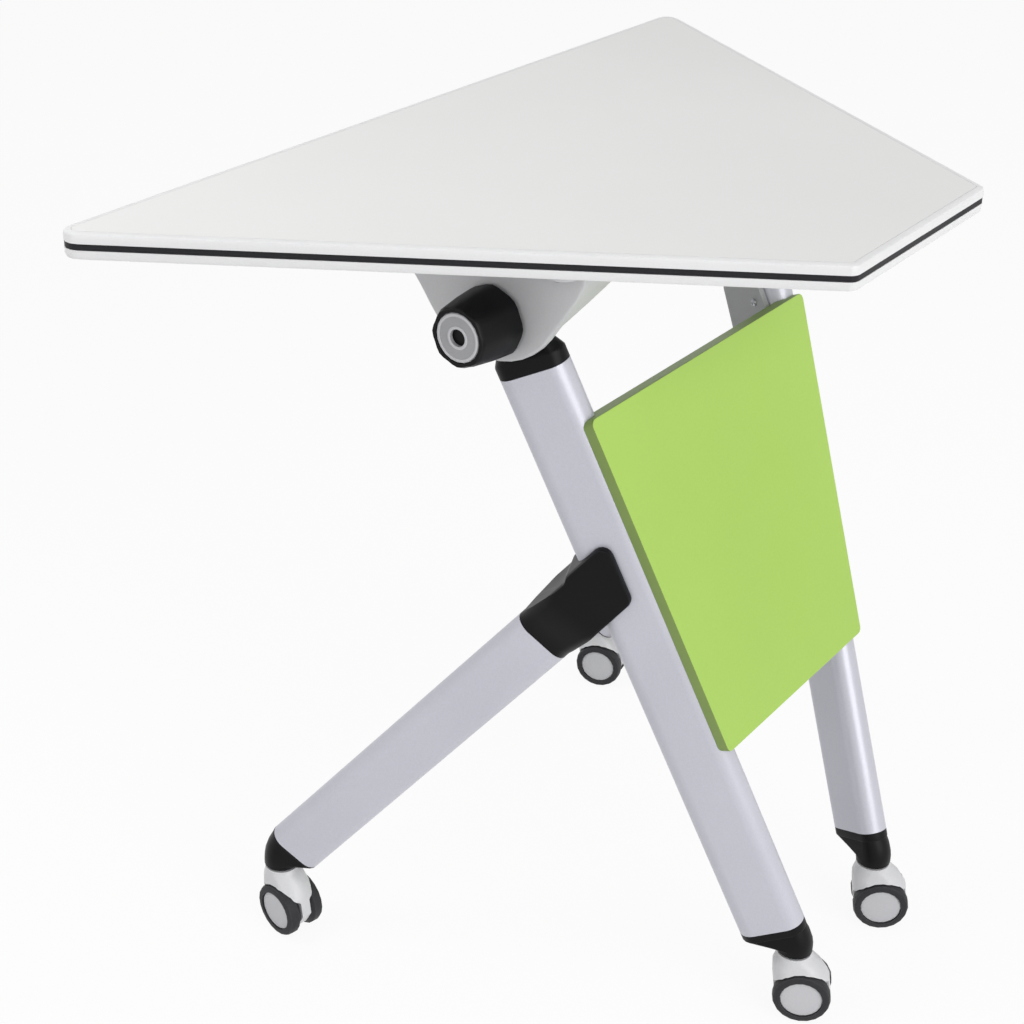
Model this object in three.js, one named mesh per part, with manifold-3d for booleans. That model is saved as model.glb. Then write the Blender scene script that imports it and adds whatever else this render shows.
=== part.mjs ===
// Flip top training table: a trapezoid top that tips up on two A-shaped leg frames with casters.
// Millimetres, +Z up, floor at z = 0. X runs along the two straight parallel edges of the top.
// The user sits on the -Y side, at the long edge; the modesty panel hangs on the +Y side.
import * as THREE from 'three';
import { mergeVertices } from 'three/addons/utils/BufferGeometryUtils.js';
import Module from 'manifold-3d';

const wasm = await Module();
wasm.setup();

// Clearances
const fit = 0.3; // between pieces that are seated on each other
const running = 0.5; // between pieces that turn past each other
const sweepClearance = 4; // round the leg head while the top flips

// Top
const tableHeight = 736;
const longEdge = 872;
const shortEdge = 228;
const topDepth = 500;
const topThickness = 21;
const acuteCornerRadius = 13;
const obtuseCornerRadius = 10;
const bandWidth = 6;
const bandRounding = 3;
const stripeHeight = 5.2;
const stripeDepth = 2.4;
const stripeRecess = 0.3;

// Flip axis and leg frames, measured from the flip axis
const flipDrop = 78; // flip axis below the surface of the top
const flipHeight = tableHeight - flipDrop;
const flipSetback = -5; // Y of the flip axis from the middle of the top
const flipAngle = 90;
const legSpread = 187; // X of the leg centre line on the flip axis
const legSplay = 22.9; // turn of each leg frame from the Y direction, degrees
const mainReach = 258; // main foot, along the leg frame
const braceReach = 199; // brace foot, along the leg frame
const footHeight = 86; // where both reaches are measured
const elbowDrop = 218; // where the brace line meets the main leg line, below the flip axis
const elbowHeight = flipHeight - elbowDrop;

// Leg tubes
const mainWidth = 61;
const mainThickness = 30;
const braceWidth = 54;
const braceThickness = 28;
const tubeWall = 2;
const plugLength = 32;
const collarTop = 38; // top of the leg head's collar, down the main leg from the flip axis
const mainTubeTop = 50;
const mainTubeEnd = 9; // end of the main tube above the foot height, along the leg
const braceTubeEnd = 7; // end of the brace tube above the foot height, along the brace

// Flip bracket
const cheekWall = 6;
const flankWall = 5;
const bowlRadius = 68; // round lower outline of the outer cheek
const bowlDrop = 35.5; // its lowest point under the flip axis
const flankAngle = 56; // where the bowl turns into the flared flank, degrees from straight down
const userReach = 116; // bracket under the top, from the bowl towards the user
const panelReach = 88; // and towards the panel
const bowlOffset = -6; // bowl centre from the flip axis, along Y
const taperStart = 38; // from the bowl centre: past it, both flanks taper down to the outer cheek
const taperTop = 44; // inner end of the tapered underside, above the flip axis
const taperFoot = 8; // its outer end
const bracketLip = 6;
const bracketBevel = 2;
const flangeWall = 5;
const flangeOverhang = 14;
const flangeScrewHole = 5.2;
const innerHubRadius = 26;
const ribWall = 4;
const ribOffset = 66; // from the bowl centre
const ribDepth = 22;

// Leg head, pivot and stop
const eyeRadius = 29;
const eyeOut = 15; // outer face of the eye from the leg centre line, along X
const eyeIn = 19; // inner face
const journalRadius = 12;
const boltRadius = 5;
const boltHeadRadius = 7.6;
const boltHeadHeight = 7;
const stopPinRadius = 3;
const stopCircle = 20; // radius on which the stop pin runs
const stopAngle = 30; // stop pin at rest, degrees above +Y
const crossTubeWall = 2.2;
const spigotLength = 40; // inside the cross tube

// Clamp knob
const knobLength = 47;
const knobBackRadius = 30;
const knobFrontRadius = 25.5;
const knobLobes = 8;
const lobeDepth = 1.2;
const knobEdge = 3;
const capRadius = 20.3;
const capHole = 7;
const capBevel = 0.6;
const capDepth = 3.5;
const boltInKnob = 34;

// Elbow between brace and main leg
const elbowLength = 98; // from the main leg line to the end of the brace tube
const elbowPad = 6.5; // cheek over each face of the main leg
const padOverlap = 5; // past the main leg's centre line
const elbowLip = 3; // how much the pad stands proud of the brace's upper edge
const elbowRise = 45; // length over which the elbow thickens
const padCornerRadius = 9;
const elbowBevel = 3.5;

// Feet
const capBottom = 71;
const neckRadius = 16.5;
const neckLength = 4;
const mainStemReach = 277; // caster stem, along the leg frame
const braceStemReach = 210;
const mainRim = 8; // straight part of each cap
const braceRim = 3;

// Casters
const wheelRadius = 26.5;
const wheelWidth = 14;
const tyreDepth = 7;
const tyreRounding = 4;
const hubRecess = 1;
const hubWidth = 11;
const casterTrail = 11;
const hoodWeb = 10; // hood between the wheels
const hoodTop = 68.5;
const axleRadius = 3;
const stemRadius = 5.5;
const stemLength = 26; // inside the foot cap
const stemSeat = 8; // inside the hood
const stemCollarRadius = 10;
const casterTurns = { main_right: 26, main_left: 31, brace_right: -10, brace_left: 16 }; // at rest, degrees

// Modesty panel
const panelThickness = 16;
const panelCover = 6.5; // board left in front of the main legs, which lie in grooves of the panel
const panelTop = 100; // down the plane of the main legs, from the flip axis
const panelBottom = 420;
const panelPastLeg = 4.5; // panel edge past the leg centre line
const panelCornerRadius = 6;
const panelBevel = 0.8;
const saddleLength = 44;
const saddleWidth = 40;
const saddleDepth = 11;
const saddleInset = 36; // centre of each saddle from the panel's top or bottom edge
const hangerWall = 5; // plate of the upper saddle, on the inner face of the main leg
const hangerTop = 80; // its ends, down the main leg from the flip axis
const hangerFoot = 150;
const hangerRear = 37; // its top rear corner from the leg's centre line
const hangerFront = 14; // its top front corner
const hangerWaist = 114; // below this it reaches out to the saddle
const hangerLap = 24; // its front edge there
const hangerCornerRadius = 5;

// Fineness of the round forms
const cornerSteps = 5;
const ovalPoints = 20;
const turnSteps = 20;
const smallTurnSteps = 10;
const curveSteps = 6;
const weldDistance = 1e-4;

const finishes = {
  whiteLaminate: { color: 0xe4e4e2, roughness: 0.42, metalness: 0 },
  whiteEdge: { color: 0xdcdcde, roughness: 0.38, metalness: 0 },
  charcoalStripe: { color: 0x2c2c30, roughness: 0.5, metalness: 0 },
  silverPaint: { color: 0xbdbdca, roughness: 0.34, metalness: 0.55 },
  greyDieCast: { color: 0xa9a9ac, roughness: 0.46, metalness: 0.45 },
  blackPlastic: { color: 0x161618, roughness: 0.48, metalness: 0 },
  greyPlastic: { color: 0xa2a2a6, roughness: 0.5, metalness: 0 },
  paleHood: { color: 0xd2d2d6, roughness: 0.4, metalness: 0 },
  blackTyre: { color: 0x2e2e31, roughness: 0.6, metalness: 0 },
  greenBoard: { color: 0xa5cf5f, roughness: 0.5, metalness: 0 },
  steel: { color: 0x8d9096, roughness: 0.35, metalness: 0.9 },
};

const { degToRad, lerp } = THREE.MathUtils;
const alongX = new THREE.Vector3(1, 0, 0);
const alongY = new THREE.Vector3(0, 1, 0);
const alongZ = new THREE.Vector3(0, 0, 1);
const scaled = (direction, length) => direction.clone().multiplyScalar(length);
const sum = (...vectors) => vectors.reduce((total, v) => total.add(v), new THREE.Vector3());

// Directions of the right leg frame, from its sizes
const splay = degToRad(legSplay);
const outAlongFrame = new THREE.Vector3(Math.sin(splay), -Math.cos(splay), 0); // towards the brace foot
const acrossFrame = new THREE.Vector3(Math.cos(splay), Math.sin(splay), 0);
const footDrop = footHeight - flipHeight;
const inFrame = (reach, height) => sum(scaled(outAlongFrame, reach), scaled(alongZ, height));
const mainUp = inFrame(mainReach, -footDrop).normalize();
const mainAcross = new THREE.Vector3().crossVectors(acrossFrame, mainUp);
const downMain = (distance) => scaled(mainUp, -distance);
const elbowPoint = downMain((flipHeight - elbowHeight) / mainUp.z);
const mainFoot = downMain(-footDrop / mainUp.z);
const upMain = (distance) => sum(mainFoot, scaled(mainUp, distance));
const braceFoot = inFrame(braceReach, footDrop);
const braceUp = elbowPoint.clone().sub(braceFoot).normalize();
const braceAcross = new THREE.Vector3().crossVectors(acrossFrame, braceUp);
const upBrace = (distance) => sum(braceFoot, scaled(braceUp, distance));
const elbowToFoot = elbowPoint.distanceTo(braceFoot);

// Plane that holds both main legs: its outward normal, and the lean of the legs along it
const panelOut = new THREE.Vector3().crossVectors(mainUp, alongX).normalize();
const panelUp = new THREE.Vector3().crossVectors(alongX, panelOut);
const legLean = mainUp.x / mainUp.dot(panelUp); // X gained by the main leg for each unit up the plane
const mainFront = (mainWidth - mainThickness) / 2 * Math.abs(mainAcross.dot(panelOut)) + mainThickness / 2;

// Solids: closed geometry in, closed geometry out
function toSolid(geometry) {
  const bare = geometry.clone();
  bare.deleteAttribute('normal');
  bare.deleteAttribute('uv');
  const welded = mergeVertices(bare, weldDistance);
  const corners = welded.index.array;
  const triVerts = [];
  for (let i = 0; i < corners.length; i += 3) {
    const [a, b, c] = [corners[i], corners[i + 1], corners[i + 2]];
    if (a !== b && b !== c && c !== a) {
      triVerts.push(a, b, c);
    }
  }
  const mesh = new wasm.Mesh({
    numProp: 3,
    vertProperties: new Float32Array(welded.attributes.position.array),
    triVerts: new Uint32Array(triVerts),
  });
  return new wasm.Manifold(mesh);
}

function toGeometry(solid) {
  const { vertProperties, triVerts } = solid.getMesh();
  const geometry = new THREE.BufferGeometry();
  geometry.setAttribute('position', new THREE.BufferAttribute(new Float32Array(vertProperties), 3));
  geometry.setIndex(new THREE.BufferAttribute(new Uint32Array(triVerts), 1));
  geometry.computeVertexNormals();
  return geometry;
}

const clean = (geometry) => toGeometry(toSolid(geometry));
const join = (first, ...others) => toGeometry(others.reduce((s, g) => s.add(toSolid(g)), toSolid(first)));
const cut = (body, ...tools) => toGeometry(tools.reduce((s, g) => s.subtract(toSolid(g)), toSolid(body)));
const common = (first, second) => toGeometry(toSolid(first).intersect(toSolid(second)));

// Puts geometry drawn on local x, y, z onto three directions, with its origin at a point.
function placed(geometry, x, y, z, origin = new THREE.Vector3()) {
  return geometry.applyMatrix4(new THREE.Matrix4().makeBasis(x, y, z).setPosition(origin));
}

// The mirror image in X, with its faces turned to point out again.
function mirrored(geometry) {
  const copy = geometry.clone().scale(-1, 1, 1);
  const corners = copy.index.array;
  for (let i = 0; i < corners.length; i += 3) {
    [corners[i], corners[i + 1]] = [corners[i + 1], corners[i]];
  }
  copy.computeVertexNormals();
  return copy;
}

// Counterclockwise outline with rounded corners, drawn in by inset.
function roundedOutline(corners, radii, inset = 0) {
  const points = [];
  corners.forEach((corner, i) => {
    const before = corners[(i + corners.length - 1) % corners.length];
    const after = corners[(i + 1) % corners.length];
    const arriving = corner.clone().sub(before).normalize();
    const leaving = after.clone().sub(corner).normalize();
    const turn = Math.atan2(arriving.cross(leaving), arriving.dot(leaving));
    const side = Math.sign(turn);
    const setback = radii[i] * Math.tan(Math.abs(turn) / 2);
    const centre = corner.clone().addScaledVector(arriving, -setback);
    centre.add(new THREE.Vector2(-arriving.y, arriving.x).multiplyScalar(side * radii[i]));
    const start = arriving.angle() - side * Math.PI / 2;
    const radius = radii[i] - side * inset;
    for (let step = 0; step <= cornerSteps; step++) {
      const angle = start + turn * step / cornerSteps;
      points.push(new THREE.Vector2(radius * Math.cos(angle), radius * Math.sin(angle)).add(centre));
    }
  });
  return points;
}

const flat = (x, y) => new THREE.Vector2(x, y);
const sameRadii = (corners, radius) => corners.map(() => radius);

function extruded(shape, depth, bevel = 0) {
  const geometry = new THREE.ExtrudeGeometry(shape, {
    depth: depth - 2 * bevel,
    curveSegments: curveSteps,
    bevelEnabled: bevel > 0,
    bevelThickness: bevel,
    bevelSize: bevel,
    bevelOffset: -bevel,
    bevelSegments: 2,
  });
  return geometry.translate(0, 0, bevel);
}

// Lathe about +Y; the profile runs up its outer side.
const quarterTurn = Math.PI / 2;
const turned = (profile, steps) => new THREE.LatheGeometry(profile.map(([r, h]) => flat(r, h)), steps);
const turnedAlongX = (profile, steps = turnSteps) => clean(turned(profile, steps).rotateZ(-quarterTurn));
const turnedAlongZ = (profile, steps = turnSteps) => clean(turned(profile, steps).rotateX(quarterTurn));
const rodProfile = (radius, from, to) => [[0, from], [radius, from], [radius, to], [0, to]];
const rodAlongX = (radius, from, to, steps) => turnedAlongX(rodProfile(radius, from, to), steps);
const rodAlongZ = (radius, from, to, steps) => turnedAlongZ(rodProfile(radius, from, to), steps);

// Flattened oval: straight sides and round ends.
function ovalShape(width, thickness) {
  const radius = thickness / 2;
  const straight = width / 2 - radius;
  const shape = new THREE.Shape();
  shape.absarc(straight, 0, radius, -Math.PI / 2, Math.PI / 2, false);
  shape.absarc(-straight, 0, radius, Math.PI / 2, 3 * Math.PI / 2, false);
  shape.closePath();
  return shape;
}

// An oval, or a rectangle with rounded corners, as a ring of points round the direction across x normal.
function ovalRing(centre, across, normal, width, thickness, radius = Math.min(width, thickness) / 2) {
  const overWidth = width / 2 - radius;
  const overThickness = thickness / 2 - radius;
  return Array.from({ length: ovalPoints }, (_, i) => {
    const angle = 2 * Math.PI * (i + 0.5) / ovalPoints;
    const x = Math.sign(Math.cos(angle)) * overWidth + radius * Math.cos(angle);
    const y = Math.sign(Math.sin(angle)) * overThickness + radius * Math.sin(angle);
    return sum(centre, scaled(across, x), scaled(normal, y));
  });
}

// Skin through rings of equal count, closed by a fan at each end.
function loft(rings) {
  const count = rings[0].length;
  const points = rings.flat();
  const middle = (ring) => sum(...ring).divideScalar(count);
  points.push(middle(rings[0]), middle(rings[rings.length - 1]));
  const index = [];
  const last = (rings.length - 1) * count;
  for (let i = 0; i < count; i++) {
    const next = (i + 1) % count;
    for (let start = 0; start < last; start += count) {
      index.push(start + i, start + next, start + count + next);
      index.push(start + i, start + count + next, start + count + i);
    }
    index.push(points.length - 2, next, i);
    index.push(points.length - 1, last + i, last + next);
  }
  const geometry = new THREE.BufferGeometry().setFromPoints(points);
  geometry.setIndex(index);
  return geometry;
}

// Ring between two others, with its own share of the way sideways and downwards.
const blendRings = (first, second, sideways, down) => first.map((p, i) => {
  const q = second[i];
  return new THREE.Vector3(lerp(p.x, q.x, sideways), lerp(p.y, q.y, sideways), lerp(p.z, q.z, down));
});

// Oval tube between two points of a leg line.
function ovalTube(width, thickness, across, up, from, to) {
  const shape = ovalShape(width, thickness);
  shape.holes.push(ovalShape(width - 2 * tubeWall, thickness - 2 * tubeWall));
  return clean(placed(extruded(shape, from.distanceTo(to)), across, acrossFrame, up, from));
}

// Oval bar with no hole, used to cut seats round a tube.
function ovalBar(width, thickness, across, up, from, to) {
  return placed(extruded(ovalShape(width, thickness), from.distanceTo(to)), across, acrossFrame, up, from);
}

// Top: board, edge band and stripe, all drawn from one outline

const topCorners = [
  flat(longEdge / 2, -topDepth / 2),
  flat(shortEdge / 2, topDepth / 2),
  flat(-shortEdge / 2, topDepth / 2),
  flat(-longEdge / 2, -topDepth / 2),
];
const topRadii = [acuteCornerRadius, obtuseCornerRadius, obtuseCornerRadius, acuteCornerRadius];
const topOutline = (inset) => roundedOutline(topCorners, topRadii, inset);

// A closed profile of [inset, height] points carried round the outline of the top.
function edgeRing(profile) {
  const rings = profile.map(([inset, height]) => topOutline(inset).map((p) => [p.x, p.y, height]));
  const count = rings[0].length;
  const index = [];
  for (let j = 0; j < profile.length; j++) {
    const above = (j + 1) % profile.length;
    for (let i = 0; i < count; i++) {
      const next = (i + 1) % count;
      index.push(j * count + i, j * count + next, above * count + next);
      index.push(j * count + i, above * count + next, above * count + i);
    }
  }
  const geometry = new THREE.BufferGeometry();
  geometry.setAttribute('position', new THREE.Float32BufferAttribute(rings.flat(2), 3));
  geometry.setIndex(index);
  return clean(geometry);
}

function tableTop() {
  const board = extruded(new THREE.Shape(topOutline(bandWidth + fit)), topThickness);
  return clean(board.translate(0, 0, tableHeight - topThickness));
}

function edgeBand() {
  const bottom = tableHeight - topThickness;
  const groove = [bottom + (topThickness - stripeHeight) / 2, bottom + (topThickness + stripeHeight) / 2];
  const rounding = (share, height, sense) => {
    const angle = share * Math.PI / 2;
    return [bandRounding * (1 - Math.cos(angle)), height + sense * bandRounding * Math.sin(angle)];
  };
  const shares = [0, 0.5, 1];
  return edgeRing([
    ...shares.map((share) => rounding(1 - share, bottom + bandRounding, -1)),
    [0, groove[0]],
    [stripeDepth, groove[0]],
    [stripeDepth, groove[1]],
    [0, groove[1]],
    ...shares.map((share) => rounding(share, tableHeight - bandRounding, 1)),
    [bandWidth, tableHeight],
    [bandWidth, bottom],
  ]);
}

function edgeStripe() {
  const middle = tableHeight - topThickness / 2;
  const half = stripeHeight / 2 - fit;
  return edgeRing([
    [stripeRecess, middle - half],
    [stripeRecess, middle + half],
    [stripeDepth - fit, middle + half],
    [stripeDepth - fit, middle - half],
  ]);
}

// Flip bracket: a die-cast shell, open below, whose outer cheek is a bowl with flared flanks.
// Drawn on Y and Z from the flip axis, for the right-hand side.

const bracketTop = tableHeight - topThickness - fit - flipHeight;
const outerCheek = eyeOut + running; // inner face of the outer cheek
const innerCheek = -eyeIn - running;
const bracketOut = outerCheek + cheekWall;
const bracketIn = innerCheek - cheekWall;
const flipTurn = degToRad(flipAngle);

function bracketOutline(inset, top) {
  const radius = bowlRadius - inset;
  const centre = bowlRadius - bowlDrop;
  const angle = degToRad(flankAngle);
  const flank = flat(radius * Math.sin(angle), centre - radius * Math.cos(angle));
  const lip = top - bracketLip;
  const rise = (lip - flank.y) * 0.9;
  const control = flat(flank.x + rise / Math.tan(angle), flank.y + rise);
  const shape = new THREE.Shape();
  shape.moveTo(inset - userReach, top);
  shape.lineTo(inset - userReach, lip);
  shape.quadraticCurveTo(-control.x, control.y, -flank.x, flank.y);
  shape.absarc(0, centre, radius, -Math.PI / 2 - angle, -Math.PI / 2 + angle, false);
  shape.quadraticCurveTo(control.x, control.y, panelReach - inset, lip);
  shape.lineTo(panelReach - inset, top);
  shape.closePath();
  return shape;
}

// Draws a shape on Y and Z, as one run of distinct points, and gives it a depth along X.
function standing(shape, from, to, bevel = 0) {
  const points = shape.getPoints(curveSteps);
  const apart = points.filter((p, i) => p.distanceTo(points.at(i - 1)) > weldDistance);
  const solid = extruded(new THREE.Shape(apart), to - from, bevel);
  return placed(solid, alongY, alongZ, alongX, scaled(alongX, from));
}

// What the leg sweeps, seen from the bracket, while the top goes from flat to upright.
function legSweep() {
  const far = 2 * userReach;
  const half = mainFront + sweepClearance;
  const front = flat(panelOut.y, panelOut.z);
  const down = flat(-panelUp.y, -panelUp.z);
  const origin = flat(0, 0);
  const backTurned = front.clone().negate().rotateAround(origin, -flipTurn);
  const downTurned = down.clone().rotateAround(origin, -flipTurn);
  const restEdge = front.clone().multiplyScalar(half);
  const turnedEdge = backTurned.clone().multiplyScalar(half);
  return new THREE.Shape([
    restEdge,
    turnedEdge,
    turnedEdge.clone().addScaledVector(downTurned, far),
    down.clone().add(downTurned).multiplyScalar(far),
    restEdge.clone().addScaledVector(down, far),
  ]);
}

// What the sloping underside takes off the inner side of both flanks, drawn in by the wall for the cavity.
function flankTapers(inset) {
  const low = -2 * bowlDrop;
  const inner = bracketIn - cheekWall;
  const lift = inset / Math.cos(Math.atan2(taperTop - taperFoot, outerCheek - inner));
  const shape = new THREE.Shape([
    flat(inner, low),
    flat(outerCheek, low),
    flat(outerCheek, taperFoot + lift),
    flat(inner, taperTop + lift),
  ]);
  const start = taperStart - inset;
  const towardsUser = alongY.clone().negate();
  return [bowlOffset - start, bowlOffset + start + userReach].map((from) =>
    clean(placed(extruded(shape, userReach), alongX, alongZ, towardsUser, scaled(alongY, from))));
}

function flipBracket() {
  const cavityTop = bracketTop - flangeWall;
  const shell = (inset, top, from, to, bevel) =>
    standing(bracketOutline(inset, top), from, to, bevel).translate(0, bowlOffset, 0);
  const whole = shell(0, bracketTop, bracketIn, bracketOut, bracketBevel);
  const body = cut(whole, ...flankTapers(0));
  const cavity = cut(shell(flankWall, cavityTop, innerCheek, outerCheek), ...flankTapers(flankWall));
  const sweep = standing(legSweep(), bracketIn - cheekWall, outerCheek);
  const hub = rodAlongX(innerHubRadius, bracketIn, innerCheek);

  const flangeEnds = [bowlOffset - userReach + bracketLip, bowlOffset + panelReach - bracketLip];
  const flangeCorners = [
    flat(bracketOut + flangeOverhang, flangeEnds[0]),
    flat(bracketOut + flangeOverhang, flangeEnds[1]),
    flat(bracketIn - flangeOverhang, flangeEnds[1]),
    flat(bracketIn - flangeOverhang, flangeEnds[0]),
  ];
  const flangeRadii = sameRadii(flangeCorners, flangeOverhang);
  const flangeShape = new THREE.Shape(roundedOutline(flangeCorners, flangeRadii));
  for (const row of [bracketOut + flangeOverhang / 2, bracketIn - flangeOverhang / 2]) {
    for (const share of [0, 0.5, 1]) {
      const place = lerp(flangeEnds[0] + flangeOverhang, flangeEnds[1] - flangeOverhang, share);
      const hole = new THREE.Path();
      hole.absarc(row, place, flangeScrewHole / 2, 0, 2 * Math.PI, true);
      flangeShape.holes.push(hole);
    }
  }
  const flange = extruded(flangeShape, flangeWall).translate(0, 0, cavityTop);

  const ribs = [-ribOffset, ribOffset].map((place) => {
    const rib = new THREE.BoxGeometry(bracketOut - bracketIn - cheekWall, ribWall, ribDepth + flangeWall);
    const middle = bracketTop - (ribDepth + flangeWall) / 2;
    return rib.translate((bracketOut + bracketIn) / 2, place + bowlOffset, middle);
  });
  const ribsInside = ribs.map((rib) => common(rib, body)).map((rib) => cut(rib, sweep));

  const stop = stopPlace(0);
  const pinHole = rodAlongX(stopPinRadius + fit, bracketIn - 1, bracketOut + 1, smallTurnSteps);
  const holes = [
    rodAlongX(journalRadius + fit, bracketIn - 1, bracketOut + 1),
    pinHole.translate(0, stop.x, stop.y),
  ];
  return cut(join(cut(body, cavity, sweep), hub, flange, ...ribsInside), ...holes);
}

// Stop pin on its circle, turned from rest by an angle; y and z are the point's x and y.
function stopPlace(turn) {
  const angle = degToRad(stopAngle) + turn;
  return flat(stopCircle * Math.cos(angle), stopCircle * Math.sin(angle));
}

const stopPin = () => {
  const place = stopPlace(0);
  const pin = rodAlongX(stopPinRadius, bracketIn + fit, bracketOut - fit, smallTurnSteps);
  return pin.translate(0, place.x, place.y);
};

// Leg head: plugs into the main leg, carries the eye of the flip axis and the spigot of the cross tube.

const spigotEnd = bracketIn - running - spigotLength;
const journalEnd = bracketOut - fit;

function stopSlot() {
  const half = stopPinRadius + fit;
  const start = degToRad(stopAngle);
  const shape = new THREE.Shape();
  const [first, second] = [stopPlace(0), stopPlace(flipTurn)];
  shape.absarc(0, 0, stopCircle + half, start, start + flipTurn, false);
  shape.absarc(second.x, second.y, half, start + flipTurn, start + flipTurn + Math.PI, false);
  shape.absarc(0, 0, stopCircle - half, start + flipTurn, start, true);
  shape.absarc(first.x, first.y, half, start + Math.PI, start + 2 * Math.PI, false);
  shape.closePath();
  return standing(shape, -eyeIn - 1, eyeOut + 1);
}

function legHead() {
  const back = acrossFrame.clone().negate();
  const ring = (distance, width, thickness) =>
    ovalRing(downMain(distance), mainAcross, back, width, thickness);
  const plug = [mainWidth - 2 * (tubeWall + fit), mainThickness - 2 * (tubeWall + fit)];
  const collarEnd = mainTubeTop - fit;
  const neckTop = eyeRadius / 4;
  const neckEnd = (eyeRadius + innerHubRadius) / 2;
  const [topWide, topThick] = [0.6, 0.62]; // shares of the leg's section at the top of the neck
  const [endWide, endThick] = [0.76, 0.7]; // and at its end
  const stalk = loft([
    ring(neckTop, mainWidth * topWide, mainThickness * topThick),
    ring(neckEnd, mainWidth * endWide, mainThickness * endThick),
    ring(collarTop, mainWidth - 2, mainThickness - 2),
    ring(collarTop + 2, mainWidth, mainThickness),
    ring(collarEnd, mainWidth, mainThickness),
    ring(collarEnd, ...plug),
    ring(mainTubeTop + plugLength, ...plug),
  ]);
  const eye = rodAlongX(eyeRadius, -eyeIn, eyeOut);
  const spigot = rodAlongX(journalRadius, spigotEnd, journalEnd);
  const bore = rodAlongX(boltRadius + fit, spigotEnd - 1, journalEnd + 1, smallTurnSteps);
  const headSeat = rodAlongX(boltHeadRadius + fit, spigotEnd - 1, innerCheek + fit, smallTurnSteps);
  return cut(join(stalk, eye, spigot), bore, headSeat, stopSlot());
}

const knobBack = bracketOut + running;
const knobFront = knobBack + knobLength;
const boltEnd = knobBack + boltInKnob;

function pivotBolt() {
  const seat = innerCheek;
  return turnedAlongX([
    [0, seat - boltHeadHeight],
    [boltHeadRadius, seat - boltHeadHeight],
    [boltHeadRadius, seat],
    [boltRadius, seat],
    [boltRadius, boltEnd - 1],
    [boltRadius - 1, boltEnd],
    [0, boltEnd],
  ], smallTurnSteps);
}

// Clamp knob: a lobed cone, with a blind bore for the bolt and a recess for its end disc.
function clampKnob() {
  const lobedRing = (at, radius) => Array.from({ length: 4 * knobLobes }, (_, i) => {
    const angle = 2 * Math.PI * i / (4 * knobLobes);
    const r = radius - lobeDepth * (1 - Math.cos(knobLobes * angle)) / 2;
    return new THREE.Vector3(at, r * Math.cos(angle), r * Math.sin(angle));
  });
  const [waistAt, waistTaper] = [0.45, 0.3]; // share of the depth, and of the taper reached there
  const body = loft([
    lobedRing(knobBack, knobBackRadius - knobEdge),
    lobedRing(knobBack + knobEdge, knobBackRadius),
    lobedRing(lerp(knobBack, knobFront, waistAt), lerp(knobBackRadius, knobFrontRadius, waistTaper)),
    lobedRing(knobFront - knobEdge, knobFrontRadius),
    lobedRing(knobFront, knobFrontRadius - knobEdge / 2),
  ]);
  const recess = rodAlongX(capRadius + fit, knobFront - capDepth, knobFront + 1);
  const bore = rodAlongX(boltRadius + fit, knobBack - 1, boltEnd + fit, smallTurnSteps);
  return cut(body, recess, bore);
}

function knobCap() {
  const back = knobFront - capDepth + fit;
  const front = knobFront - fit;
  return turnedAlongX([
    [capHole, back],
    [capRadius, back],
    [capRadius, front - capBevel],
    [capRadius - capBevel, front],
    [capHole, front],
    [capHole, back],
  ]);
}

function crossTube() {
  const inner = journalRadius + fit;
  const half = legSpread + bracketIn - running;
  return turnedAlongX([
    [inner, -half],
    [inner + crossTubeWall, -half],
    [inner + crossTubeWall, half],
    [inner, half],
    [inner, -half],
  ]);
}

// Legs

const braceTubeTop = elbowToFoot - elbowLength - fit;
const mainLeg = () =>
  ovalTube(mainWidth, mainThickness, mainAcross, mainUp, upMain(mainTubeEnd), downMain(mainTubeTop));
const braceLeg = () =>
  ovalTube(braceWidth, braceThickness, braceAcross, braceUp, upBrace(braceTubeEnd), upBrace(braceTubeTop));

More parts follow.
